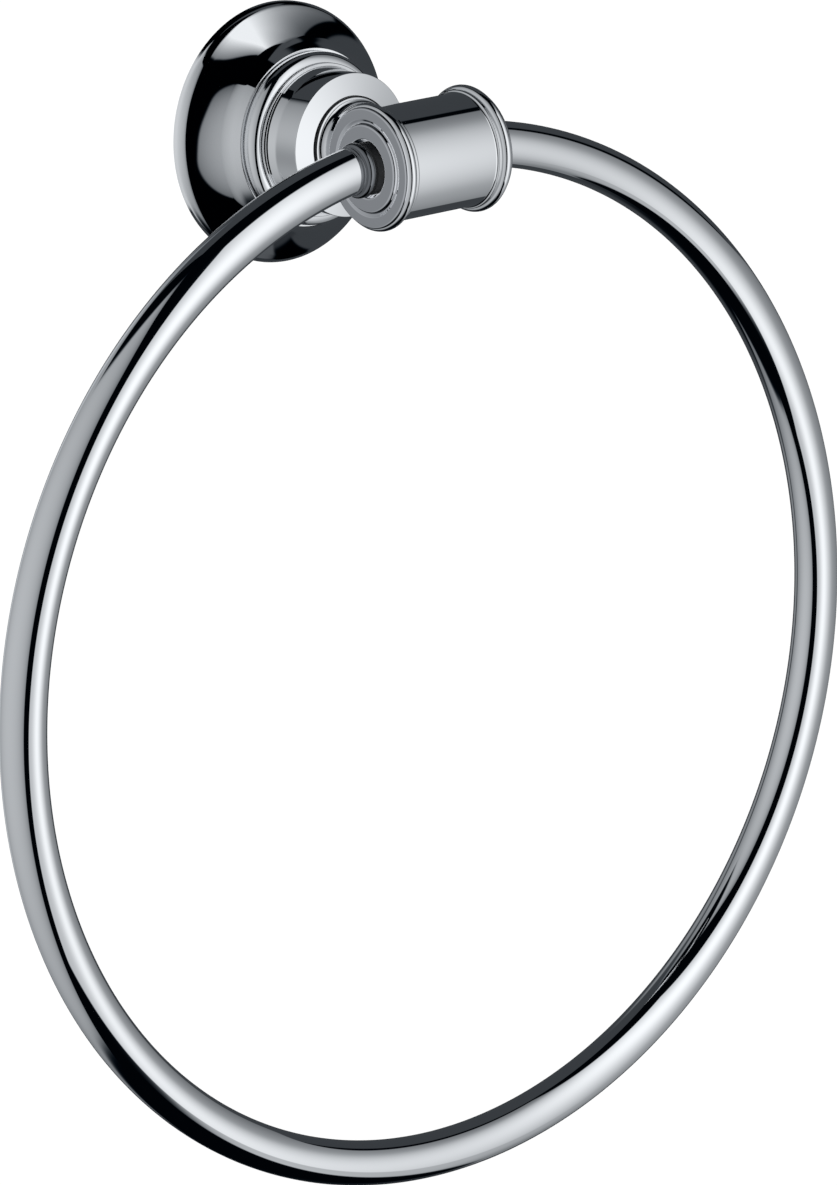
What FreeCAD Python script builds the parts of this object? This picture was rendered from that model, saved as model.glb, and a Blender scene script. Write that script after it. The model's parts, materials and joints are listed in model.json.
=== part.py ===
import FreeCAD, Part
import math
import os
from FreeCAD import Vector

# Wall-mounted towel ring, millimetres, +Z up.
# Origin: centre of the back face on the wall. The wall is the plane y = 0 and
# the object stands out of it towards -Y. The barrel's axis runs along X.

# ---- driving dimensions ----------------------------------------------------
RING_R = 91.0            # ring centreline radius
ROD_R = 4.0              # ring rod radius
ROD_END_X = 16.3         # where the rod's faced ends sit on the ferrules, on the barrel axis

BAR_W = 39.4             # barrel axis, distance from the wall
BAR_R = 9.9              # barrel body radius
BEAD_R = 11.1            # barrel end bead radius
BEAD_X = 11.5            # outboard face of the barrel casting
BORE_R = 7.6             # barrel counterbore radius
WEB_X = 2.0              # half thickness of the web between the counterbores

CAP_X = 12.0             # annular face of the end cap
DISC_X = 12.4            # central disc face of the end cap
BUSH_IN_X = 5.2          # inboard face of the bush
BUSH_OUT_X = 10.2        # outboard face of the bush
BUSH_R = 6.0             # bush outer radius
BUSH_BORE_R = 4.0        # bush bore radius
COLLAR_R = 4.55          # the bush's collar, which shows as a dark ring in the cap's recess
COLLAR_X = 13.35
JOURNAL_R = 3.95         # journal radius, 0.05 running clearance
JOURNAL_IN_X = 4.2       # inboard end of the journal

ROSE_R = 23.2            # rosette rim radius
NOSE_W = 9.45            # front of the rosette, where the post's bead sits
NOSE_R = 15.76
ROSE_HOLE_R = 11.6
WALL_T = 1.2             # rosette sheet thickness

POST_R = 12.6            # post cylinder radius
FACE_W = 20.66           # front edge of the post
SEAT_W = 21.06           # where the neck sits; the face between rises as a shallow cone
SEAT_R = 8.8
POST_BEAD_R = 15.3
POST_BEAD_W = 12.45
POST_BACK_W = 6.6
POST_SPIGOT_R = 11.5
POST_BORE_R = 8.55
POST_BORE_W = 18.2

NECK_R = 7.5
NECK_LIP_R = 8.57

PLATE_R = 18.0
PLATE_T = 2.5
BOSS_R = 8.5
BOSS_BORE_R = 5.8
BOSS_W = 18.0
LOCK_W = 15.6            # grub screw axis, distance from the wall
WALL_HOLE_PITCH = 26.0
WALL_HOLE_R = 2.4
WALL_HEAD_R = 4.4

SCREW_R = 3.0            # barrel screw
SCREW_END_W = 28.2
SCREW_HEAD_R = 4.9
SCREW_HEAD_H = 3.3
WASHER_T = 1.0
GRUB_R = 2.5

O = Vector(0, 0, 0)


# ---- profile helpers ---------------------------------------------------------
def rounded_wire(verts, place):
    """Closed wire through (axial, radial[, fillet]) corners, with tangent arcs."""
    n = len(verts)
    pts = [(v[0], v[1], v[2] if len(v) > 2 else 0.0) for v in verts]
    segs = []
    for i in range(n):
        a, b, c = pts[i - 1], pts[i], pts[(i + 1) % n]
        if b[2] <= 0:
            segs.append((b[:2], None, b[:2]))
            continue
        ux, uy = a[0] - b[0], a[1] - b[1]
        vx, vy = c[0] - b[0], c[1] - b[1]
        lu, lv = math.hypot(ux, uy), math.hypot(vx, vy)
        ux, uy, vx, vy = ux / lu, uy / lu, vx / lv, vy / lv
        ang = math.acos(max(-1.0, min(1.0, ux * vx + uy * vy)))
        t = b[2] / math.tan(ang / 2)
        p = (b[0] + ux * t, b[1] + uy * t)
        q = (b[0] + vx * t, b[1] + vy * t)
        bx, by = ux + vx, uy + vy
        lb = math.hypot(bx, by)
        bx, by = bx / lb, by / lb
        d = b[2] / math.sin(ang / 2)
        m = (b[0] + bx * (d - b[2]), b[1] + by * (d - b[2]))
        segs.append((p, m, q))
    edges = []
    for i in range(n):
        p, m, q = segs[i]
        if m is not None:
            edges.append(Part.Arc(place(*p), place(*m), place(*q)).toShape())
        nxt = segs[(i + 1) % n][0]
        if math.hypot(nxt[0] - q[0], nxt[1] - q[1]) > 1e-6:
            edges.append(Part.LineSegment(place(*q), place(*nxt)).toShape())
    return Part.Wire(Part.__sortEdges__(edges))


def turn_y(verts):
    """Solid of revolution about the post's axis; axial = distance from the wall."""
    w = rounded_wire(verts, lambda a, r: Vector(r, -a, 0))
    return Part.Face(w).revolve(O, Vector(0, 1, 0), 360)


def turn_x(verts):
    """Solid of revolution about the barrel's axis; axial = x."""
    w = rounded_wire(verts, lambda a, r: Vector(a, -BAR_W, r))
    return Part.Face(w).revolve(Vector(0, -BAR_W, 0), Vector(1, 0, 0), 360)


def mirror_x(shape):
    return shape.mirror(O, Vector(1, 0, 0))


def hex_prism(af, length, base, axis):
    r = af / math.sqrt(3.0)
    pts = [Vector(r * math.cos(math.radians(60 * k)), r * math.sin(math.radians(60 * k)), 0) for k in range(7)]
    f = Part.Face(Part.makePolygon(pts))
    s = f.extrude(Vector(0, 0, length))
    s.Placement = FreeCAD.Placement(base, FreeCAD.Rotation(Vector(0, 0, 1), axis))
    return s


def cyl(r, length, base, axis):
    return Part.makeCylinder(r, length, base, axis)


parts = {}

# ---- rosette: spun shell, rounded rim, straight flank, then a hollow curve ----
parts["rosette"] = turn_y([
    (0.0, ROSE_R - WALL_T),
    (0.0, ROSE_R),
    (1.853, ROSE_R, 2.0),
    (4.40, 19.60, 31.0),
    (7.02, 16.96, 6.0),
    (NOSE_W, NOSE_R, 0.28),
    (NOSE_W, ROSE_HOLE_R),
    (NOSE_W - WALL_T, ROSE_HOLE_R),
    (NOSE_W - WALL_T, 14.937),
    (6.274, 15.94, 5.0),
    (3.445, 18.79, 28.0),
    (1.172, ROSE_R - WALL_T, 0.8),
])

# ---- wall bracket: plate, hollow boss with a locking groove, two wall holes ---
bracket = turn_y([
    (0.0, 0.0),
    (0.0, PLATE_R),
    (PLATE_T, PLATE_R, 0.5),
    (PLATE_T, BOSS_R, 1.0),
    (LOCK_W - 1.0, BOSS_R),
    (LOCK_W, BOSS_R - 1.0),
    (LOCK_W + 1.0, BOSS_R),
    (BOSS_W, BOSS_R, 0.4),
    (BOSS_W, BOSS_BORE_R),
    (3.6, BOSS_BORE_R),
    (3.6, 0.0),
])
for s in (-1, 1):
    x = s * WALL_HOLE_PITCH / 2
    bracket = bracket.cut(cyl(WALL_HOLE_R, PLATE_T + 2, Vector(x, 1, 0), Vector(0, -1, 0)))
    sink = Part.makeCone(WALL_HOLE_R, WALL_HEAD_R + 0.2, WALL_HEAD_R + 0.2 - WALL_HOLE_R,
                         Vector(x, -(PLATE_T + 0.2 - (WALL_HEAD_R + 0.2 - WALL_HOLE_R)), 0), Vector(0, -1, 0))
    bracket = bracket.cut(sink)
parts["wall_bracket"] = bracket

# ---- post: bead, waist with a fine shoulder, cylinder, shallow conical face -----
post = turn_y([
    (POST_BACK_W, POST_BORE_R),
    (POST_BACK_W, POST_SPIGOT_R, 0.4),
    (NOSE_W, POST_SPIGOT_R),
    (NOSE_W, POST_BEAD_R, 0.85),
    (POST_BEAD_W, POST_BEAD_R, 1.7),
    (POST_BEAD_W, 13.30),
    (12.62, 13.30),
    (12.62, 13.55, 0.10),
    (12.98, 13.55, 0.16),
    (12.98, 12.95, 0.10),
    (13.55, 12.95),
    (15.3, POST_R, 3.0),
    (FACE_W, POST_R, 0.12),
    (SEAT_W, SEAT_R),
    (SEAT_W, 3.2),
    (POST_BORE_W, 3.2),
    (POST_BORE_W, POST_BORE_R),
])
post = post.cut(cyl(GRUB_R, 8.0, Vector(0, -LOCK_W, -POST_R - 1.5), Vector(0, 0, 1)))
parts["post"] = post

# ---- grub screw in the post's underside ---------------------------------------
tip = BOSS_R - 1.0 + 0.05
grub_len = POST_R - 0.45 - tip
grub = cyl(GRUB_R, POST_R - 0.45 - (tip + GRUB_R), Vector(0, -LOCK_W, -(POST_R - 0.45)), Vector(0, 0, 1))
cone = Part.makeCone(GRUB_R, 0.3, GRUB_R - 0.3, Vector(0, -LOCK_W, -(tip + GRUB_R)), Vector(0, 0, 1))
grub = grub.fuse(cone).removeSplitter()
grub = grub.cut(hex_prism(2.5, 2.0, Vector(0, -LOCK_W, -(POST_R - 0.45) - 0.2), Vector(0, 0, 1)))
parts["grub_screw"] = grub

# ---- screw and washer that hold the barrel's neck on the post ------------------
head_w = POST_BORE_W - WASHER_T
screw = turn_y([
    (head_w - SCREW_HEAD_H, 0.0),
    (head_w - SCREW_HEAD_H, SCREW_HEAD_R, 0.4),
    (head_w, SCREW_HEAD_R),
    (head_w, SCREW_R),
    (SCREW_END_W - 0.5, SCREW_R),
    (SCREW_END_W, SCREW_R - 0.5),
    (SCREW_END_W, 0.0),
])
screw = screw.cut(hex_prism(4.0, 2.4, Vector(0, -(head_w - SCREW_HEAD_H) + 0.2, 0), Vector(0, -1, 0)))
parts["barrel_screw"] = screw

washer = turn_y([
    (head_w, 3.1),
    (head_w, SCREW_HEAD_R),
    (POST_BORE_W, SCREW_HEAD_R),
    (POST_BORE_W, 3.1),
])
slit = Part.makeBox(6.0, WASHER_T + 1.0, 0.6, Vector(0, -(POST_BORE_W + 0.5), -0.3))
parts["spring_washer"] = washer.cut(slit)

# ---- barrel with its neck in one casting ---------------------------------------
half = [
    (BEAD_X, 0.0),
    (BEAD_X, BEAD_R, 0.84),
    (9.78, BEAD_R, 0.84),
    (9.78, 10.05),
    (9.60, 10.05),
    (9.60, 10.36, 0.10),
    (9.02, 10.36, 0.18),
    (8.92, BAR_R, 0.45),
]
outline = half + [(-a, r, *rest) for a, r, *rest in reversed(half)]
barrel = turn_x(outline)
neck = turn_y([
    (SEAT_W, 0.0),
    (SEAT_W, NECK_LIP_R, 0.05),
    (21.50, NECK_LIP_R, 0.36),
    (21.50, 8.02),
    (21.68, 8.02),
    (21.68, 8.18, 0.06),
    (21.95, 8.18, 0.12),
    (22.30, NECK_R, 1.3),
    (32.0, NECK_R),
    (32.0, 0.0),
])
barrel = barrel.fuse(neck).removeSplitter()
root_edges = []
for e in barrel.Edges:
    m = e.valueAt((e.FirstParameter + e.LastParameter) / 2)
    on_neck = abs(math.hypot(m.x, m.z) - NECK_R) < 0.02
    on_body = abs(math.hypot(m.y + BAR_W, m.z) - BAR_R) < 0.02
    if on_neck and on_body and m.y > -BAR_W:
        root_edges.append(e)
if root_edges:
    try:
        barrel = barrel.makeFillet(0.9, root_edges)
    except Exception:
        print("neck root left sharp")
else:
    print("neck root edge not found")
for s in (-1, 1):
    barrel = barrel.cut(cyl(BORE_R, BEAD_X - WEB_X + 1, Vector(s * WEB_X, -BAR_W, 0), Vector(s, 0, 0)))
barrel = barrel.cut(cyl(SCREW_R, 28.9 - FACE_W + 1, Vector(0, -(FACE_W - 1), 0), Vector(0, -1, 0)))
parts["barrel"] = barrel

# ---- end caps -------------------------------------------------------------------
cap = turn_x([
    (BUSH_IN_X - 0.2, BUSH_R),
    (BUSH_OUT_X, BUSH_R),
    (BUSH_OUT_X, 4.65),
    (11.35, 4.65, 0.4),
    (DISC_X, 5.15, 0.35),
    (DISC_X, 7.62, 0.30),
    (CAP_X + 0.05, 7.80, 0.10),
    (CAP_X - 0.12, 8.00, 0.10),
    (CAP_X, 8.32, 0.15),
    (CAP_X, 10.50, 0.38),
    (BEAD_X, 10.50),
    (BEAD_X, BORE_R),
    (BUSH_IN_X - 0.2, BORE_R),
])
parts["end_cap_right"] = cap
parts["end_cap_left"] = mirror_x(cap)

# ---- bushes -----------------------------------------------------------------------
bush = turn_x([
    (BUSH_IN_X, BUSH_BORE_R),
    (BUSH_IN_X, BUSH_R, 0.3),
    (BUSH_OUT_X, BUSH_R),
    (BUSH_OUT_X, COLLAR_R),
    (COLLAR_X, COLLAR_R, 0.25),
    (COLLAR_X, BUSH_BORE_R),
])
parts["bush_right"] = bush
parts["bush_left"] = mirror_x(bush)

# ---- ring ---------------------------------------------------------------------------
ring_zc = -math.sqrt(RING_R ** 2 - ROD_END_X ** 2)
a0 = math.degrees(math.asin((ROD_END_X - 3.0) / RING_R))
rod = Part.makeTorus(RING_R, ROD_R, O, Vector(0, 0, 1), -180, 180, 360 - 2 * a0)
# stand the arc up in the XZ plane with its gap on top
rod.rotate(O, Vector(1, 0, 0), 90)
rod.rotate(O, Vector(0, 1, 0), -(90 + a0))
rod.translate(Vector(0, -BAR_W, ring_zc))
# both ends are faced square to the barrel's axis
rod = rod.cut(Part.makeBox(2 * ROD_END_X, 20, 30, Vector(-ROD_END_X, -BAR_W - 10, -15)))
end_edges = []
for e in rod.Edges:
    pts = [e.valueAt(e.FirstParameter + (e.LastParameter - e.FirstParameter) * k / 8.0) for k in range(9)]
    if all(abs(abs(p.x) - ROD_END_X) < 0.01 for p in pts):
        end_edges.append(e)
rod = rod.makeFillet(0.3, end_edges)
a1 = math.asin(ROD_END_X / RING_R)
t_right = Vector(math.cos(a1), 0, -math.sin(a1))
end_right = Vector(ROD_END_X, -BAR_W, 0)
PIN_R = 2.5
PIN_L = 8.0
for s in (1, -1):
    d = Vector(s * t_right.x, 0, t_right.z)
    p = Vector(s * end_right.x, end_right.y, end_right.z)
    rod = rod.cut(cyl(PIN_R, PIN_L + 2.0, p - d * 2.0, d))
parts["ring_rod"] = rod

ferrule = turn_x([
    (JOURNAL_IN_X, 0.0),
    (JOURNAL_IN_X, JOURNAL_R, 0.4),
    (13.72, JOURNAL_R, 0.15),
    (13.72, 4.78, 0.62),
    (15.12, 4.78, 0.62),
    (15.12, 3.72, 0.12),
    (15.46, 3.72, 0.05),
    (15.46, 4.12, 0.10),
    (15.80, 4.12, 0.10),
    (15.80, 3.70, 0.05),
    (ROD_END_X, 3.70),
    (ROD_END_X, 0.0),
])
pin = cyl(PIN_R, PIN_L + 1.0, end_right - t_right * 1.0, t_right)
ferrule = ferrule.fuse(pin).removeSplitter()
parts["ferrule_right"] = ferrule
parts["ferrule_left"] = mirror_x(ferrule)

# ---- write ---------------------------------------------------------------------------
os.makedirs("parts", exist_ok=True)
for name, shape in parts.items():
    if len(shape.Solids) == 1:
        shape = shape.Solids[0]
    if not shape.isValid():
        print("invalid:", name)
    b = shape.BoundBox
    print("%-14s solids %d vol %9.1f  x %.2f..%.2f y %.2f..%.2f z %.2f..%.2f" % (
        name, len(shape.Solids), shape.Volume, b.XMin, b.XMax, b.YMin, b.YMax, b.ZMin, b.ZMax))
    shape.exportStep("parts/%s.step" % name)
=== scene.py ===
import json
import math
import bpy
import bmesh
from mathutils import Vector, Matrix

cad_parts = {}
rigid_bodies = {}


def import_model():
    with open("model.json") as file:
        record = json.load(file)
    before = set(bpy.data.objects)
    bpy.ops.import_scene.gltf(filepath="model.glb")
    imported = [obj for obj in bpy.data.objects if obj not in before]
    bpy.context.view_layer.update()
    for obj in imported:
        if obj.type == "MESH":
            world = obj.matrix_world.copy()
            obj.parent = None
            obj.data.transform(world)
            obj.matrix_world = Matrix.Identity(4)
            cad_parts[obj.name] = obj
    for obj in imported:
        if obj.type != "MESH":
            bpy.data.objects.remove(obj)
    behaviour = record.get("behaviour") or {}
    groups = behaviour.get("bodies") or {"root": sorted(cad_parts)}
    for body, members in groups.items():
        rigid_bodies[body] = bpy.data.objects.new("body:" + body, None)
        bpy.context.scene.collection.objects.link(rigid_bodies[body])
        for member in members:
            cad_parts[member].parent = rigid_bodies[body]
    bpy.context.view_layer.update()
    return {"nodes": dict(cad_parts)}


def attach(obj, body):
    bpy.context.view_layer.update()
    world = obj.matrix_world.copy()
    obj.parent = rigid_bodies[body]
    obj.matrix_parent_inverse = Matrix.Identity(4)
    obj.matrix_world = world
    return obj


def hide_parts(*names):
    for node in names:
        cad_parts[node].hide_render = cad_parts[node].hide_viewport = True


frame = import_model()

nodes = frame["nodes"]
MM = 0.001

# ---------------------------------------------------------------- dimensions
# the same numbers as the construction, millimetres
RING_R, ROD_R, ROD_END_X = 91.0, 4.0, 16.3
BAR_W, BAR_R, BEAD_R, BEAD_X = 39.4, 9.9, 11.1, 11.5
CAP_X, DISC_X, BORE_R = 12.0, 12.4, 7.6
BUSH_IN_X, BUSH_OUT_X, BUSH_R, BUSH_BORE_R = 5.2, 10.2, 6.0, 4.0
JOURNAL_R, JOURNAL_IN_X = 3.95, 4.2
ROSE_R, NOSE_W, NOSE_R, ROSE_HOLE_R, WALL_T = 23.2, 9.45, 15.76, 11.6, 1.2
POST_R, FACE_W, SEAT_W, SEAT_R, POST_BEAD_R, POST_BEAD_W = 12.6, 20.66, 21.06, 8.8, 15.3, 12.45
POST_BACK_W, POST_SPIGOT_R, POST_BORE_R, POST_BORE_W = 6.6, 11.5, 8.55, 18.2
NECK_R, NECK_LIP_R, ROOT_FILLET = 7.5, 8.57, 0.9
LOCK_W, GRUB_R = 15.6, 2.5
RING_ZC = -math.sqrt(RING_R ** 2 - ROD_END_X ** 2)


# ------------------------------------------------------------- mesh builders
def outline(verts, step=7.5, longest=1.6):
    """Closed (axial, radial, fillet) corners to segments with the true normals at both ends."""
    pts = [(v[0], v[1], v[2] if len(v) > 2 else 0.0) for v in verts]
    n = len(pts)
    corners = []
    for i in range(n):
        a, b, c = pts[i - 1], pts[i], pts[(i + 1) % n]
        if b[2] <= 0:
            corners.append((b[:2], None, None, b[:2]))
            continue
        u = Vector((a[0] - b[0], a[1] - b[1])).normalized()
        v = Vector((c[0] - b[0], c[1] - b[1])).normalized()
        ang = math.acos(max(-1.0, min(1.0, u.dot(v))))
        t = b[2] / math.tan(ang / 2)
        mid = (u + v).normalized()
        centre = Vector(b[:2]) + mid * (b[2] / math.sin(ang / 2))
        corners.append((tuple(Vector(b[:2]) + u * t), centre, b[2], tuple(Vector(b[:2]) + v * t)))
    area = sum(pts[i][0] * pts[(i + 1) % n][1] - pts[(i + 1) % n][0] * pts[i][1] for i in range(n))
    side = 1.0 if area > 0 else -1.0
    segs = []

    def line(p, q):
        d = Vector(q) - Vector(p)
        if d.length < 1e-6:
            return
        nn = Vector((d.y, -d.x)).normalized() * side
        k = max(1, math.ceil(d.length / longest))
        for j in range(k):
            segs.append((tuple(Vector(p) + d * (j / k)), tuple(Vector(p) + d * ((j + 1) / k)), tuple(nn), tuple(nn)))

    for i in range(n):
        p, centre, rad, q = corners[i]
        if centre is not None:
            a0 = math.atan2(p[1] - centre.y, p[0] - centre.x)
            a1 = math.atan2(q[1] - centre.y, q[0] - centre.x)
            da = (a1 - a0 + math.pi) % (2 * math.pi) - math.pi
            k = max(2, math.ceil(abs(math.degrees(da)) / step))
            if rad > 3.0:
                k = max(k, math.ceil(abs(da) * rad / 0.5))
            prev = None
            out = -1.0 if (da > 0) != (side > 0) else 1.0
            for j in range(k + 1):
                t = a0 + da * j / k
                e = Vector((math.cos(t), math.sin(t)))
                pt = tuple(centre + e * rad) if 0 < j < k else (p if j == 0 else q)
                cur = (pt, tuple(e * out))
                if prev:
                    segs.append((prev[0], cur[0], prev[1], cur[1]))
                prev = cur
        line(q, corners[(i + 1) % n][0])
    return segs


def about_post(a, r, c, s):
    return (r * c, -a, r * s)


def about_barrel(a, r, c, s):
    return (a, r * c, r * s)


def finish_mesh(name, verts, faces, normals):
    """Millimetre vertices, faces and one normal per face corner, to a smooth-shaded object."""
    # turn every face the way its normals point
    for k, f in enumerate(faces):
        p = [Vector(verts[i]) for i in f[:3]]
        g = (p[1] - p[0]).cross(p[2] - p[0])
        if len(f) == 4 and g.length < 1e-12:
            g = (p[2] - p[0]).cross(Vector(verts[f[3]]) - p[0])
        m = Vector((0, 0, 0))
        for nn in normals[k]:
            m += Vector(nn)
        if g.dot(m) < 0:
            faces[k] = tuple(reversed(f))
            normals[k] = tuple(reversed(normals[k]))
    me = bpy.data.meshes.new(name)
    me.from_pydata([(x * MM, y * MM, z * MM) for x, y, z in verts], [], faces)
    me.polygons.foreach_set("use_smooth", [True] * len(me.polygons))
    flat = []
    for nn in normals:
        flat.extend(tuple(Vector(v).normalized()) for v in nn)
    me.normals_split_custom_set(flat)
    me.update()
    ob = bpy.data.objects.new(name, me)
    bpy.context.scene.collection.objects.link(ob)
    return ob


def lathe_data(verts2, place, offset=(0, 0, 0), around=256, mirror=False):
    segs = outline(verts2)
    m = len(segs)
    verts, index = [], []
    cs = [(math.cos(2 * math.pi * j / around), math.sin(2 * math.pi * j / around)) for j in range(around)]
    sg = -1.0 if mirror else 1.0
    for p, q, n0, n1 in segs:
        a, r = p
        if abs(r) < 1e-6:
            x, y, z = place(a * sg, 0.0, 1.0, 0.0)
            index.append([len(verts)] * around)
            verts.append((x + offset[0], y + offset[1], z + offset[2]))
            continue
        row = []
        for c, s in cs:
            x, y, z = place(a * sg, r, c, s)
            row.append(len(verts))
            verts.append((x + offset[0], y + offset[1], z + offset[2]))
        index.append(row)
    faces, normals = [], []
    for k in range(m):
        p, q, n0, n1 = segs[k]
        if abs(p[1]) < 1e-6 and abs(q[1]) < 1e-6:
            continue
        r0, r1 = index[k], index[(k + 1) % m]
        for j in range(around):
            j2 = (j + 1) % around
            c0, c1 = cs[j], cs[j2]
            na = place(n0[0] * sg, n0[1], *c0)
            nb = place(n0[0] * sg, n0[1], *c1)
            nc = place(n1[0] * sg, n1[1], *c1)
            nd = place(n1[0] * sg, n1[1], *c0)
            if abs(p[1]) < 1e-6:
                faces.append((r0[j], r1[j2], r1[j]))
                normals.append((na, nc, nd))
            elif abs(q[1]) < 1e-6:
                faces.append((r0[j], r0[j2], r1[j]))
                normals.append((na, nb, nd))
            else:
                faces.append((r0[j], r0[j2], r1[j2], r1[j]))
                normals.append((na, nb, nc, nd))
    return verts, faces, normals


def lathe(name, verts2, place, offset=(0, 0, 0), around=256, mirror=False):
    return finish_mesh(name, *lathe_data(verts2, place, offset, around, mirror))


AXIS = (0.0, -BAR_W, 0.0)

# ------------------------------------------------------------------- rosette
rose_2d = [
    (0.0, ROSE_R - WALL_T),
    (0.0, ROSE_R),
    (1.853, ROSE_R, 2.0),
    (4.40, 19.60, 31.0),
    (7.02, 16.96, 6.0),
    (NOSE_W, NOSE_R, 0.14),
    (NOSE_W, ROSE_HOLE_R),
    (NOSE_W - WALL_T, ROSE_HOLE_R),
    (NOSE_W - WALL_T, 14.937),
    (6.274, 15.94, 5.0),
    (3.445, 18.79, 28.0),
    (1.172, ROSE_R - WALL_T, 0.8),
]
rosette = lathe("rosette_shell", rose_2d, about_post, around=320)
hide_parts("rosette")
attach(rosette, "holder")

# ---------------------------------------------------------------------- post
post_2d = [
    (POST_BACK_W, POST_BORE_R),
    (POST_BACK_W, POST_SPIGOT_R, 0.4),
    (NOSE_W, POST_SPIGOT_R),
    (NOSE_W, POST_BEAD_R, 0.5),
    (POST_BEAD_W, POST_BEAD_R, 1.7),
    (POST_BEAD_W, 13.30),
    (12.62, 13.30),
    (12.62, 13.55, 0.10),
    (12.98, 13.55, 0.16),
    (12.98, 12.95, 0.10),
    (13.55, 12.95),
    (15.3, POST_R, 3.0),
    (FACE_W, POST_R, 0.12),
    (SEAT_W, SEAT_R),
    (SEAT_W, 3.2),
    (POST_BORE_W, 3.2),
    (POST_BORE_W, POST_BORE_R),
]
post = lathe("post_body", post_2d, about_post, around=288)
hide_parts("post")
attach(post, "holder")

# -------------------------------------------------- barrel, neck and their root
half = [
    (BEAD_X, BORE_R),
    (BEAD_X, BEAD_R, 0.84),
    (9.78, BEAD_R, 0.84),
    (9.78, 10.05),
    (9.60, 10.05),
    (9.60, 10.36, 0.10),
    (9.02, 10.36, 0.18),
    (8.92, BAR_R, 0.45),
]
# the bore side runs from one end's counterbore over the web to the other
barrel_2d = half + [(-a, r, *rest) for a, r, *rest in reversed(half)] + [(-2.0, BORE_R), (-2.0, 1e-7), (2.0, 1e-7), (2.0, BORE_R)]
bv, bf, bn = lathe_data(barrel_2d, about_barrel, AXIS, 256)

neck_2d = [
    (SEAT_W, NECK_LIP_R, 0.05),
    (21.50, NECK_LIP_R, 0.36),
    (21.50, 8.02),
    (21.68, 8.02),
    (21.68, 8.18, 0.06),
    (21.95, 8.18, 0.12),
    (22.30, NECK_R, 1.3),
]


def neck_data(around=256, arc=10):
    """Neck from its lip to the barrel, ending in a rolling fillet, closed inside the barrel."""
    full = outline([(SEAT_W, 0.001)] + neck_2d + [(30.0, NECK_R), (30.0, 0.001)])
    segs = [s for s in full if s[0][0] < 29.0 and s[1][0] < 29.9 and not (s[0][1] < 0.01 and s[1][1] < 0.01)]
    rows = []          # each row: position and normals (before, after) per angle
    verts, faces, normals = [], [], []
    cs = [(math.cos(2 * math.pi * j / around), math.sin(2 * math.pi * j / around)) for j in range(around)]
    index = []

    def add_row(fn):
        row = []
        for c, s in cs:
            row.append(len(verts))
            verts.append(fn(c, s))
        index.append(row)
        return len(index) - 1

    def strip(i0, i1, f0, f1):
        for j in range(around):
            j2 = (j + 1) % around
            a, b = cs[j], cs[j2]
            faces.append((index[i0][j], index[i0][j2], index[i1][j2], index[i1][j]))
            normals.append((f0(*a), f0(*b), f1(*b), f1(*a)))

    last = add_row(lambda c, s, p=segs[0][0]: about_post(p[0], p[1], c, s))
    for p, q, n0, n1 in segs:
        cur = add_row(lambda c, s, q=q: about_post(q[0], q[1], c, s))
        strip(last, cur, lambda c, s, n=n0: about_post(n[0], n[1], c, s), lambda c, s, n=n1: about_post(n[0], n[1], c, s))
        last = cur
    rho = ROOT_FILLET

    def centre(c, s):
        z = (NECK_R + rho) * s
        return Vector(((NECK_R + rho) * c, -BAR_W + math.sqrt((BAR_R + rho) ** 2 - z * z), z))

    def ends(c, s):
        o = centre(c, s)
        a = Vector((-c, 0, -s))
        b = Vector((0, -BAR_W - o.y, -o.z)).normalized()
        return o, a, b

    def fil(c, s, k):
        o, a, b = ends(c, s)
        ang = a.angle(b)
        t = k / arc
        d = (a * math.sin((1 - t) * ang) + b * math.sin(t * ang)) / math.sin(ang)
        return o + d * rho, -d

    cur = add_row(lambda c, s: tuple(fil(c, s, 0)[0]))
    side = lambda c, s: (c, 0, s)
    strip(last, cur, side, side)
    last = cur
    for k in range(1, arc + 1):
        cur = add_row(lambda c, s, k=k: tuple(fil(c, s, k)[0]))
        strip(last, cur, lambda c, s, k=k: tuple(fil(c, s, k - 1)[1]), lambda c, s, k=k: tuple(fil(c, s, k)[1]))
        last = cur
    # close inside the barrel's wall
    cur = add_row(lambda c, s: (8.0 * c, -BAR_W + 8.3, 5.0 * s))
    strip(last, cur, side, side)
    last = cur
    cur = len(verts)
    verts.append((0.0, -BAR_W + 8.3, 0.0))
    front = (0.0, -1.0, 0.0)
    for j in range(around):
        faces.append((index[last][j], index[last][(j + 1) % around], cur))
        normals.append((front, front, front))
    cur = len(verts)
    verts.append((0.0, -SEAT_W, 0.0))
    back = (0.0, 1.0, 0.0)
    for j in range(around):
        faces.append((index[0][j], index[0][(j + 1) % around], cur))
        normals.append((back, back, back))
    return verts, faces, normals


nv, nf, nn_ = neck_data()
off = len(bv)
barrel = finish_mesh("barrel_body", bv + nv, bf + [tuple(i + off for i in f) for f in nf], bn + nn_)
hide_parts("barrel")
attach(barrel, "holder")

# thin dark ring in the joint between the post's face and the neck's lip: a painted shadow, a dark sheet put where there
# is only contact shade
painted_shadow_ring = lathe("neck_gasket", [(SEAT_W, 7.9), (SEAT_W, 8.70, 0.06), (SEAT_W + 0.38, 8.70, 0.08), (SEAT_W + 0.38, 7.9)], about_post, around=224)
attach(painted_shadow_ring, "holder")

# ------------------------------------------------------------------ end caps
cap_2d = [
    (BUSH_IN_X - 0.2, BUSH_R),
    (BUSH_OUT_X, BUSH_R),
    (BUSH_OUT_X, 4.65),
    (11.35, 4.65, 0.4),
    (DISC_X, 5.15, 0.42),
    (DISC_X, 7.62, 0.50),
    (CAP_X - 0.20, 7.80, 0.12),
    (CAP_X - 0.26, 8.05, 0.12),
    (CAP_X, 8.50, 0.30),
    (CAP_X, 10.50, 0.46),
    (BEAD_X, 10.50),
    (BEAD_X, BORE_R),
    (BUSH_IN_X - 0.2, BORE_R),
]
for side, mir in (("right", False), ("left", True)):
    cap = lathe("cap_" + side, cap_2d, about_barrel, AXIS, 224, mir)
    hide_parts("end_cap_" + side)
    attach(cap, "holder")

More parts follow.
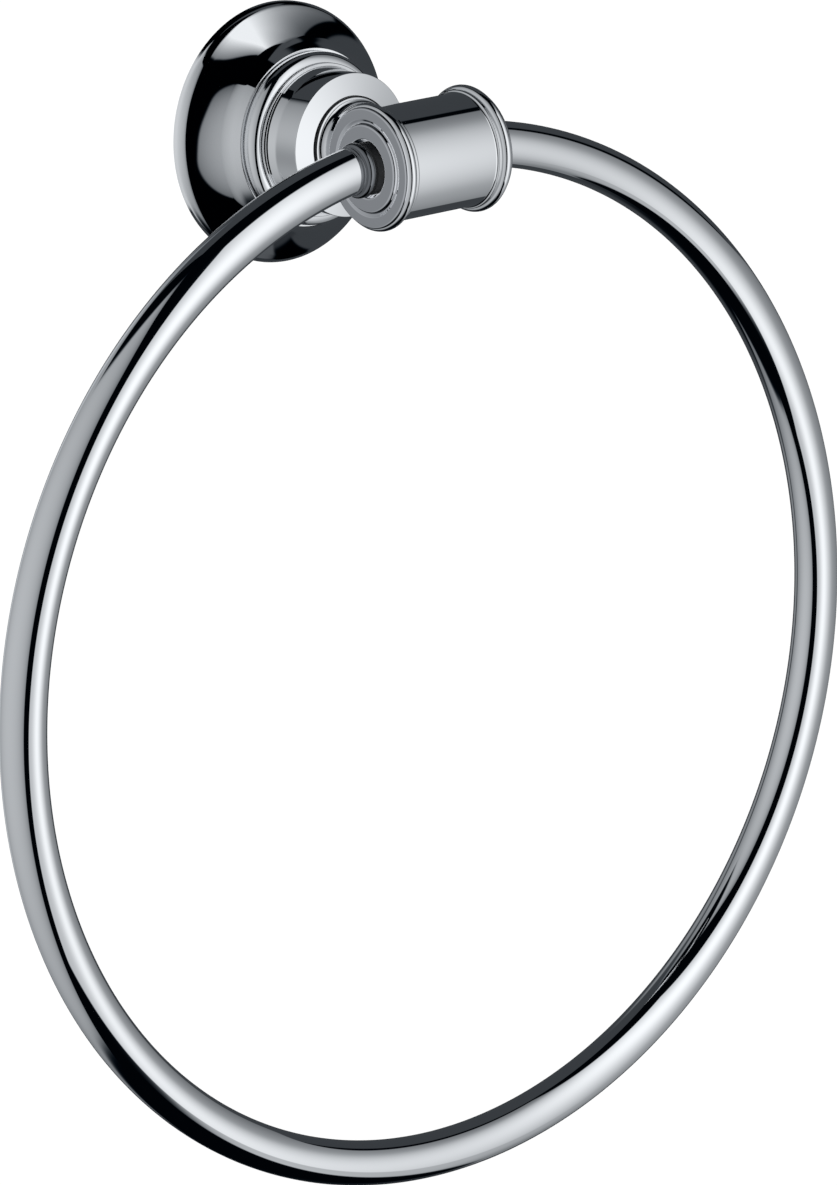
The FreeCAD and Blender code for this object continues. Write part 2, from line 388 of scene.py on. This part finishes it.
# ------------------------------------------------------------------ ferrules
ferrule_2d = [
    (JOURNAL_IN_X, 0.0),
    (JOURNAL_IN_X, JOURNAL_R, 0.4),
    (13.72, JOURNAL_R, 0.15),
    (13.72, 4.78, 0.62),
    (15.12, 4.78, 0.62),
    (15.12, 3.72, 0.12),
    (15.46, 3.72, 0.05),
    (15.46, 4.12, 0.10),
    (15.80, 4.12, 0.10),
    (15.80, 3.70, 0.05),
    (ROD_END_X + 0.4, 3.70),
    (ROD_END_X + 0.4, 0.0),
]
for side, mir in (("right", False), ("left", True)):
    fer = lathe("ferrule_turned_" + side, ferrule_2d, about_barrel, AXIS, 160, mir)
    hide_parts("ferrule_" + side)
    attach(fer, "ring")


# ---------------------------------------------------------------------- ring
def ring_data(around=72, along=420):
    """Bent rod: square-faced ends on the ferrules, then even sections round the circle."""
    f = 0.3                                     # edge rounding of the faced ends
    end_rows = [(0.0, f, 90.0)]
    rows = []
    for k in range(0, 7):                       # quarter round of the end edge
        t = math.radians(90.0 * (1 - k / 6.0))
        rows.append((f - f * math.sin(t), f - f * math.cos(t), t))
    # constant-x sections near the end, given as distance from the faced end
    xs = [(d, inset, t) for d, inset, t in rows] + [(d, 0.0, 0.0) for d in (0.7, 1.2, 1.9, 2.8, 4.0)]
    phis = [2 * math.pi * j / around for j in range(around)]
    verts, faces, normals, index, nrm = [], [], [], [], []

    def point(a, phi, r):
        x = (RING_R + r * math.cos(phi)) * math.sin(a)
        z = RING_ZC + (RING_R + r * math.cos(phi)) * math.cos(a)
        return (x, -BAR_W + r * math.sin(phi), z)

    def normal(a, phi):
        return Vector((math.cos(phi) * math.sin(a), math.sin(phi), math.cos(phi) * math.cos(a)))

    def end_row(s, d, inset, t):
        row, ns = [], []
        for phi in phis:
            r = ROD_R - inset
            a = math.asin((ROD_END_X + d) / (RING_R + r * math.cos(phi)))
            x, y, z = point(a, phi, r)
            n = normal(a, phi)
            if t > 0:
                n = (n * math.cos(t) + Vector((-1, 0, 0)) * math.sin(t)).normalized()
            row.append(len(verts))
            verts.append((s * x, y, z))
            ns.append((s * n.x, n.y, n.z))
        index.append(row)
        nrm.append(ns)

    for d, inset, t in xs:
        end_row(1, d, inset, t)
    a_first = math.asin((ROD_END_X + 5.6) / RING_R)
    for k in range(along + 1):
        a = a_first + (2 * math.pi - 2 * a_first) * k / along
        row, ns = [], []
        for phi in phis:
            row.append(len(verts))
            verts.append(point(a, phi, ROD_R))
            ns.append(tuple(normal(a, phi)))
        index.append(row)
        nrm.append(ns)
    for d, inset, t in reversed(xs):
        end_row(-1, d, inset, t)
    for i in range(len(index) - 1):
        for j in range(around):
            j2 = (j + 1) % around
            faces.append((index[i][j], index[i][j2], index[i + 1][j2], index[i + 1][j]))
            normals.append((nrm[i][j], nrm[i][j2], nrm[i + 1][j2], nrm[i + 1][j]))
    for i, s in ((0, 1), (-1, -1)):
        c = len(verts)
        verts.append((s * ROD_END_X, -BAR_W, 0.0))
        n = (-float(s), 0.0, 0.0)
        for j in range(around):
            faces.append((index[i][j], index[i][(j + 1) % around], c))
            normals.append((n, n, n))
    return verts, faces, normals


ring = finish_mesh("ring_bar", *ring_data())
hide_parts("ring_rod")
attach(ring, "ring")


# ----------------------------------------------------------------- materials
def new_mat(name):
    m = bpy.data.materials.new(name)
    m.use_nodes = True
    nt = m.node_tree
    for n in list(nt.nodes):
        nt.nodes.remove(n)
    out = nt.nodes.new("ShaderNodeOutputMaterial")
    bsdf = nt.nodes.new("ShaderNodeBsdfPrincipled")
    nt.links.new(bsdf.outputs[0], out.inputs[0])
    return m, nt, bsdf


def noise(nt, scale, detail=3.0, rough=0.5, vec=None):
    n = nt.nodes.new("ShaderNodeTexNoise")
    n.inputs["Scale"].default_value = scale
    n.inputs["Detail"].default_value = detail
    n.inputs["Roughness"].default_value = rough
    if vec is not None:
        nt.links.new(vec, n.inputs["Vector"])
    return n.outputs["Fac"]


def ramp(nt, fac, lo, hi, a=0.35, b=0.65):
    n = nt.nodes.new("ShaderNodeMapRange")
    n.inputs["From Min"].default_value = a
    n.inputs["From Max"].default_value = b
    n.inputs["To Min"].default_value = lo
    n.inputs["To Max"].default_value = hi
    nt.links.new(fac, n.inputs["Value"])
    return n.outputs["Result"]


def bump(nt, height, strength, dist, bsdf):
    n = nt.nodes.new("ShaderNodeBump")
    n.inputs["Strength"].default_value = strength
    n.inputs["Distance"].default_value = dist
    nt.links.new(height, n.inputs["Height"])
    nt.links.new(n.outputs["Normal"], bsdf.inputs["Normal"])


def coords(nt):
    return nt.nodes.new("ShaderNodeTexCoord").outputs["Object"]


def chrome(name, tint=(0.79, 0.80, 0.815), r0=0.008, r1=0.022):
    m, nt, b = new_mat(name)
    co = coords(nt)
    b.inputs["Base Color"].default_value = (*tint, 1)
    b.inputs["Metallic"].default_value = 1.0
    nt.links.new(ramp(nt, noise(nt, 90.0, 4.0, 0.55, co), r0, r1), b.inputs["Roughness"])
    return m


def metal(name, dark, light, r0, r1, scale, depth):
    """Unpolished metal: mottled colour and roughness and a fine relief."""
    m, nt, b = new_mat(name)
    co = coords(nt)
    mix = nt.nodes.new("ShaderNodeMix")
    mix.data_type = "RGBA"
    mix.inputs["A"].default_value = (*dark, 1)
    mix.inputs["B"].default_value = (*light, 1)
    nt.links.new(ramp(nt, noise(nt, scale, 5.0, 0.6, co), 0.0, 1.0), mix.inputs["Factor"])
    nt.links.new(mix.outputs["Result"], b.inputs["Base Color"])
    b.inputs["Metallic"].default_value = 1.0
    nt.links.new(ramp(nt, noise(nt, scale * 2.3, 3.0, 0.5, co), r0, r1), b.inputs["Roughness"])
    bump(nt, noise(nt, scale * 6.0, 4.0, 0.6, co), 0.6, depth, b)
    return m


def polymer(name):
    m, nt, b = new_mat(name)
    co = coords(nt)
    mix = nt.nodes.new("ShaderNodeMix")
    mix.data_type = "RGBA"
    mix.inputs["A"].default_value = (0.004, 0.0045, 0.0055, 1)
    mix.inputs["B"].default_value = (0.009, 0.010, 0.012, 1)
    nt.links.new(ramp(nt, noise(nt, 400.0, 4.0, 0.6, co), 0.0, 1.0), mix.inputs["Factor"])
    nt.links.new(mix.outputs["Result"], b.inputs["Base Color"])
    nt.links.new(ramp(nt, noise(nt, 900.0, 3.0, 0.5, co), 0.35, 0.55), b.inputs["Roughness"])
    b.inputs["Specular IOR Level"].default_value = 0.25
    bump(nt, noise(nt, 2500.0, 3.0, 0.5, co), 0.4, 0.00002, b)
    return m


m_chrome = chrome("chrome_plate")
m_zinc = metal("zinc_casting", (0.46, 0.47, 0.49), (0.58, 0.59, 0.60), 0.38, 0.62, 160.0, 0.00006)
m_steel = metal("plain_steel", (0.50, 0.50, 0.50), (0.62, 0.61, 0.59), 0.22, 0.42, 320.0, 0.00002)
m_bush = polymer("bush_polymer")
# ferrules: the chrome darkened as painted shade, standing in for the dark recess they sit in and mirror
m_ferrule_painted_shade = chrome("ferrule_painted_shade", (0.20, 0.21, 0.225), 0.02, 0.05)
# caps: the same chrome darkened a little, painted shade
m_cap_painted_shade = chrome("cap_painted_shade", (0.60, 0.61, 0.635), 0.010, 0.026)

added = [rosette, post, barrel, ring]
added += [ob for ob in bpy.data.objects if ob.name.startswith(("cap_", "ferrule_turned_"))]
# the ferrules and the caps get their darkened chrome of painted shade here
for ob in added:
    ob.data.materials.append(m_ferrule_painted_shade if ob.name.startswith("ferrule_turned_") else m_cap_painted_shade if ob.name.startswith("cap_") else m_chrome)
# the painted-shadow ring in the neck joint takes the dark polymer
painted_shadow_ring.data.materials.append(m_bush)


def set_mat(node, m):
    """Keep the slot that the node carries, but give it this material."""
    ob = nodes[node]
    if ob.data.materials:
        for i in range(len(ob.data.materials)):
            ob.data.materials[i] = m
    else:
        ob.data.materials.append(m)


for name in nodes:
    if name in ("barrel_screw", "spring_washer", "grub_screw"):
        set_mat(name, m_steel)
    elif name.startswith("bush"):
        set_mat(name, m_bush)
    elif name == "wall_bracket":
        set_mat(name, m_zinc)
    else:
        set_mat(name, m_chrome)


# --------------------------------------------------------------------- studio
class Ex:
    """Arithmetic on shader sockets; plain numbers go straight onto the sockets."""
    nt = None

    def __init__(self, v):
        self.v = v.v if isinstance(v, Ex) else v

    @classmethod
    def op(cls, kind, *args):
        n = cls.nt.nodes.new("ShaderNodeMath")
        n.operation = kind
        for i, a in enumerate(args):
            a = a.v if isinstance(a, Ex) else a
            if isinstance(a, (int, float)):
                n.inputs[i].default_value = float(a)
            else:
                cls.nt.links.new(a, n.inputs[i])
        return cls(n.outputs[0])

    def __add__(self, o): return Ex.op("ADD", self, o)
    def __radd__(self, o): return Ex.op("ADD", o, self)
    def __sub__(self, o): return Ex.op("SUBTRACT", self, o)
    def __rsub__(self, o): return Ex.op("SUBTRACT", o, self)
    def __mul__(self, o): return Ex.op("MULTIPLY", self, o)
    def __rmul__(self, o): return Ex.op("MULTIPLY", o, self)
    def __truediv__(self, o): return Ex.op("DIVIDE", self, o)


def soft(x):
    return 0.5 + 0.5 * Ex.op("TANH", x)


def band(x, lo, hi, slo, shi):
    return soft((x - lo) / slo) * soft((hi - x) / shi)


def hump(a, e, a0, e0, wa, we):
    u, v = (a - a0) / wa, (e - e0) / we
    return Ex.op("EXPONENT", 0.0 - (u * u + v * v))


def over(v, new, mask):
    return v + (new - v) * mask


# edge softness of the panels, degrees
CRISP = {"room": 0.8, "right": 0.6, "right_e": 0.6, "left": 0.4, "left_e": 1.5, "front": 0.4, "front_r": 6.0, "front_e": 0.5}


def panels_wide(a, e, ring_only=False):
    """Brightness seen by the barrel and the post; a and e are degrees to the right of the wall's normal and above level."""
    v = Ex.op("ADD", 10.4, 0.0 * a)
    # dim room on the far right and behind
    v = over(v, 61.7, soft((a - 71.9) / CRISP["room"]) * soft((e + 60.0) / 6.0))
    # weak light off the wall behind
    turned = Ex.op("WRAP", a - 168.0, 180.0, -180.0)
    v = over(v, 130.0, band(turned, -20.0, 8.0 if ring_only else 24.0, 4.0, 6.0) * band(e, -44.0, 28.0, 4.0, 4.0))
    # right panel, falling off backwards
    edge = 87.7 - 24.0 * soft((e + 1.5) / 3.0) - 8.0 * soft((-35.0 - e) / 2.0)
    right = Ex.op("MAXIMUM", 150.0 - 1.00 * (a - 40.0) - 0.42 * e - 24.0 * hump(a, e, 66.0, -52.0, 17.0, 6.0), 20.0)
    v = over(v, right, soft((a - 15.0) / 6.0) * soft((edge - a) / CRISP["right"])
             * soft((e + 50.5 + 0.10 * (a - 35.0)) / CRISP["right_e"]) * soft((43.0 - e) / CRISP["right_e"]))
    # left panel; the ring has it nearer
    if not ring_only:
        left = 30.35 + 159.2 * hump(a, e, -95.25, -9.4, 143.85, 141.8) - 34.0 * hump(a, e, -137.0, -22.0, 20.0, 22.0)
        rear = Ex.op("MAXIMUM", -135.0 - a, 0.0)
        v = over(v, left, soft((a + 176.0) / 5.0) * soft((-23.4 + 0.10 * e - 0.25 * Ex.op("MAXIMUM", e - 35.0, 0.0) - a) / CRISP["left"])
                 * soft((e + 69.9) / 8.0) * soft((68.3 - 0.45 * rear - e) / CRISP["left_e"]))
    # front panel
    front = 183.25 + 71.2 * hump(a, e, 22.4, -4.66, 15.5, 51.7)
    return over(v, front, soft((a + 0.5 - 0.24 * e) / CRISP["front"]) * soft((46.0 - a) / CRISP["front_r"])
                * soft((e + 40.1) / CRISP["front_e"]) * soft((41.2 - e) / CRISP["front_e"]))


def panels_ring(a, e):
    """What the ring sees of the distant panels."""
    return panels_wide(a, e, True)


def panel_near(a, e):
    """The left panel as the ring sees it, close enough to shift between the ring's two sides."""
    low = Ex.op("MAXIMUM", -12.0 - e, 0.0)
    high = Ex.op("MAXIMUM", e - 42.0, 0.0)
    edge = -50.5 + 0.13 * Ex.op("MINIMUM", e, 30.0) - 0.0115 * low * low - 0.055 * high * high
    v = 182.0 - 0.010 * (a + 103.0) * (a + 103.0) - 0.009 * (e - 5.0) * (e - 5.0)
    v = v - 30.0 * Ex.op("EXPONENT", Ex.op("MINIMUM", a - edge, 0.0) / 9.0)
    top = 69.0 - 0.6 * Ex.op("MAXIMUM", -95.0 - a, 0.0) + 1.0 * Ex.op("MAXIMUM", -140.0 - a, 0.0)
    return v * soft((edge - a) / 0.5) * soft((a + 178.0) / 2.0) * soft((e + 56.0) / 2.5) * soft((top - e) / 2.0)


def panels_wall(a, e):
    """The same panels as the rosette sees them from its place against the wall."""
    above = Ex.op("MAXIMUM", e - 32.0, 0.0)
    below = Ex.op("MAXIMUM", 32.0 - e, 0.0)
    v = Ex.op("ADD", 4.0, 0.0 * a)
    # dim room
    v = over(v, 61.0, soft((a - 78.3 + 6.3 * soft((-18.0 - e) / 4.0)) / 0.8) * soft((e + 62.0) / 5.0) * soft((27.0 - e) / 2.5))
    v = over(v, 70.0, soft((e - 39.5) / 1.5) * band(a, 55.0, 86.0, 2.0, 2.0))
    v = over(v, 52.0, soft((-49.5 - e) / 1.0) * band(a, 52.0, 96.0, 2.0, 3.0))
    v = over(v, 84.0, soft((-46.5 - e) / 1.0) * band(a, 40.0, 55.0, 2.0, 1.0))
    # left panel, dimmer towards its edge
    left = 187.0 - 0.33 * (a + 90.0) - 45.0 * Ex.op("EXPONENT", Ex.op("MINIMUM", a + 20.0, 8.0) / 9.0) - 0.0075 * e * e
    high = Ex.op("MAXIMUM", e - 36.0, 0.0)
    edge = -21.0 + 5.5 * soft((e - 18.5) / 8.0) + 2.6 * soft((-14.0 - e) / 6.0) - 0.75 * high - 0.03 * high * high
    v = over(v, left, soft((a + 176.0) / 5.0) * soft((edge - a) / 0.6) * soft((e + 69.9) / 8.0) * soft((74.0 - e) / 2.0))
    # front and right panels run into each other
    start = 2.3 + 0.06 * above * above
    front = Ex.op("MINIMUM", Ex.op("MINIMUM", 238.0, 219.0 - 4.55 * (a - 34.0) + 1.5 * below), 112.0 + 9.0 * (a - start))
    front = front - 2.2 * Ex.op("MAXIMUM", e - 39.0, 0.0) * soft((a - 33.0) / 4.0)
    edge = 65.9 + 0.28 * Ex.op("MAXIMUM", 34.0 - e, 0.0)
    return over(v, Ex.op("MAXIMUM", front, 60.0), soft((a - start) / 0.6) * soft((edge - a) / 0.5)
                * soft((e + 12.0) / 1.0) * soft((49.6 - e) / 0.5))


def tent(name, radius, panels, link, lit_pieces, clear=True, centre=(-0.112, 0.140, 0.0134)):
    """Light tent round the part: a front panel, a side panel on each hand, dim sides and a dark slit for the lens.

    It lights only the pieces named, or all but them where link is EXCLUDE, and is clear to the rest."""
    me = bpy.data.meshes.new(name)
    bm = bmesh.new()
    bmesh.ops.create_uvsphere(bm, u_segments=128, v_segments=64, radius=radius)
    for f in bm.faces:
        f.smooth = True
    bm.to_mesh(me)
    bm.free()
    ob = bpy.data.objects.new(name, me)
    bpy.context.scene.collection.objects.link(ob)
    ob.location = centre
    m = bpy.data.materials.new(name)
    m.use_nodes = True
    nt = m.node_tree
    for n in list(nt.nodes):
        nt.nodes.remove(n)
    Ex.nt = nt
    norm = nt.nodes.new("ShaderNodeVectorMath")
    norm.operation = "NORMALIZE"
    nt.links.new(nt.nodes.new("ShaderNodeTexCoord").outputs["Object"], norm.inputs[0])
    sep = nt.nodes.new("ShaderNodeSeparateXYZ")
    nt.links.new(norm.outputs[0], sep.inputs[0])
    x, y, z = (Ex(sep.outputs[i]) for i in range(3))
    deg = 180.0 / math.pi
    v = panels(Ex.op("ARCTAN2", x, 0.0 - y) * deg, Ex.op("ARCSINE", z) * deg)
    v = Ex.op("MINIMUM", Ex.op("MAXIMUM", v, 0.0), 258.0)
    # cool light, the more so the dimmer it is
    tone = nt.nodes.new("ShaderNodeCombineColor")
    for i, (gain, lift) in enumerate(((1.005, -3.3), (1.0, 0.0), (0.992, 3.7))):
        lin = Ex.op("POWER", Ex.op("MAXIMUM", v * gain + lift, 0.0) / 255.0, 2.2)
        nt.links.new(lin.v, tone.inputs[i])
    em = nt.nodes.new("ShaderNodeEmission")
    nt.links.new(tone.outputs[0], em.inputs["Color"])
    em.inputs["Strength"].default_value = 1.25
    out = nt.nodes.new("ShaderNodeOutputMaterial")
    if clear:
        add = nt.nodes.new("ShaderNodeAddShader")
        nt.links.new(em.outputs[0], add.inputs[0])
        nt.links.new(nt.nodes.new("ShaderNodeBsdfTransparent").outputs[0], add.inputs[1])
        nt.links.new(add.outputs[0], out.inputs[0])
    else:
        nt.links.new(em.outputs[0], out.inputs[0])
    m.cycles.emission_sampling = "NONE"
    me.materials.append(m)
    ob.visible_camera = False
    ob.visible_diffuse = False
    ob.visible_shadow = False
    ob.visible_transmission = False
    lit = bpy.data.collections.new(name + "_lights")
    for piece in lit_pieces:
        lit.objects.link(piece)
    for entry in lit.collection_objects:
        entry.light_linking.link_state = link
    ob.light_linking.receiver_collection = lit
    return ob


def floor_and_world():
    me = bpy.data.meshes.new("floor")
    r = 14.0
    me.from_pydata([(-r, -r, 0), (r, -r, 0), (r, r, 0), (-r, r, 0)], [], [(0, 1, 2, 3)])
    ob = bpy.data.objects.new("floor", me)
    bpy.context.scene.collection.objects.link(ob)
    ob.location = (0, 0, -0.75)
    m, nt, b = new_mat("floor")
    b.inputs["Roughness"].default_value = 0.9
    b.inputs["Specular IOR Level"].default_value = 0.1
    mix = nt.nodes.new("ShaderNodeMix")
    mix.data_type = "RGBA"
    mix.inputs["A"].default_value = (0.89, 0.89, 0.89, 1)
    mix.inputs["B"].default_value = (0.91, 0.91, 0.91, 1)
    nt.links.new(ramp(nt, noise(nt, 1.5, 3.0, 0.5, coords(nt)), 0.0, 1.0), mix.inputs["Factor"])
    nt.links.new(mix.outputs["Result"], b.inputs["Base Color"])
    me.materials.append(m)
    ob.visible_glossy = False
    w = bpy.data.worlds.new("studio")
    w.use_nodes = True
    bg = w.node_tree.nodes["Background"]
    bg.inputs["Color"].default_value = (1, 1, 1, 1)
    bg.inputs["Strength"].default_value = 1.15
    bpy.context.scene.world = w


# the ring and the barrel with what it carries don't mirror themselves in the rosette and the post, as in the photograph
for ob in [ob for ob in added if ob not in (rosette, post)] + [nodes[n] for n in nodes if n not in ("rosette", "post", "wall_bracket", "grub_screw")]:
    ob.visible_glossy = False

tent("light_tent_near", 0.270, panel_near, "INCLUDE", [ring], centre=(0.0, -0.042, -0.095))
tent("light_tent", 0.5486, panels_wide, "EXCLUDE", [rosette, ring])
tent("light_tent_ring", 0.5500, panels_ring, "INCLUDE", [ring])
tent("light_tent_wall", 0.5520, panels_wall, "INCLUDE", [rosette], clear=False)
floor_and_world()
vs = bpy.context.scene.view_settings
vs.view_transform = "Standard"
vs.look = "None"

# --------------------------------------------------------------------- camera
def photo_camera(az=-39.435, el=15.237, roll=-2.493, dist=1.0, scale=5.687, tx=442.474, ty=666.993):
    a, e, r = (math.radians(v) for v in (az, el, roll))
    back = Vector((math.sin(a) * math.cos(e), -math.cos(a) * math.cos(e), math.sin(e)))
    right = Vector((math.cos(a), math.sin(a), 0))
    up = back.cross(right)
    right, up = right * math.cos(r) + up * math.sin(r), -right * math.sin(r) + up * math.cos(r)
    target = Vector((0, -BAR_W * MM, -RING_R * MM))
    f = scale * dist / MM
    ox = (tx - 418.5) / f * dist
    oy = -(ty - 592.5) / f * dist
    cd = bpy.data.cameras.new("camera")
    cam = bpy.data.objects.new("camera", cd)
    bpy.context.scene.collection.objects.link(cam)
    cd.sensor_fit = "AUTO"
    cd.sensor_width = 36.0
    cd.lens = f / 1185.0 * 36.0
    cd.clip_start, cd.clip_end = 0.01, 60.0
    cam.location = target + back * dist - right * ox - up * oy
    m = Matrix((right, up, back)).transposed()
    cam.rotation_mode = "QUATERNION"
    cam.rotation_quaternion = m.to_quaternion()
    bpy.context.scene.camera = cam
    return cam


camera = photo_camera()
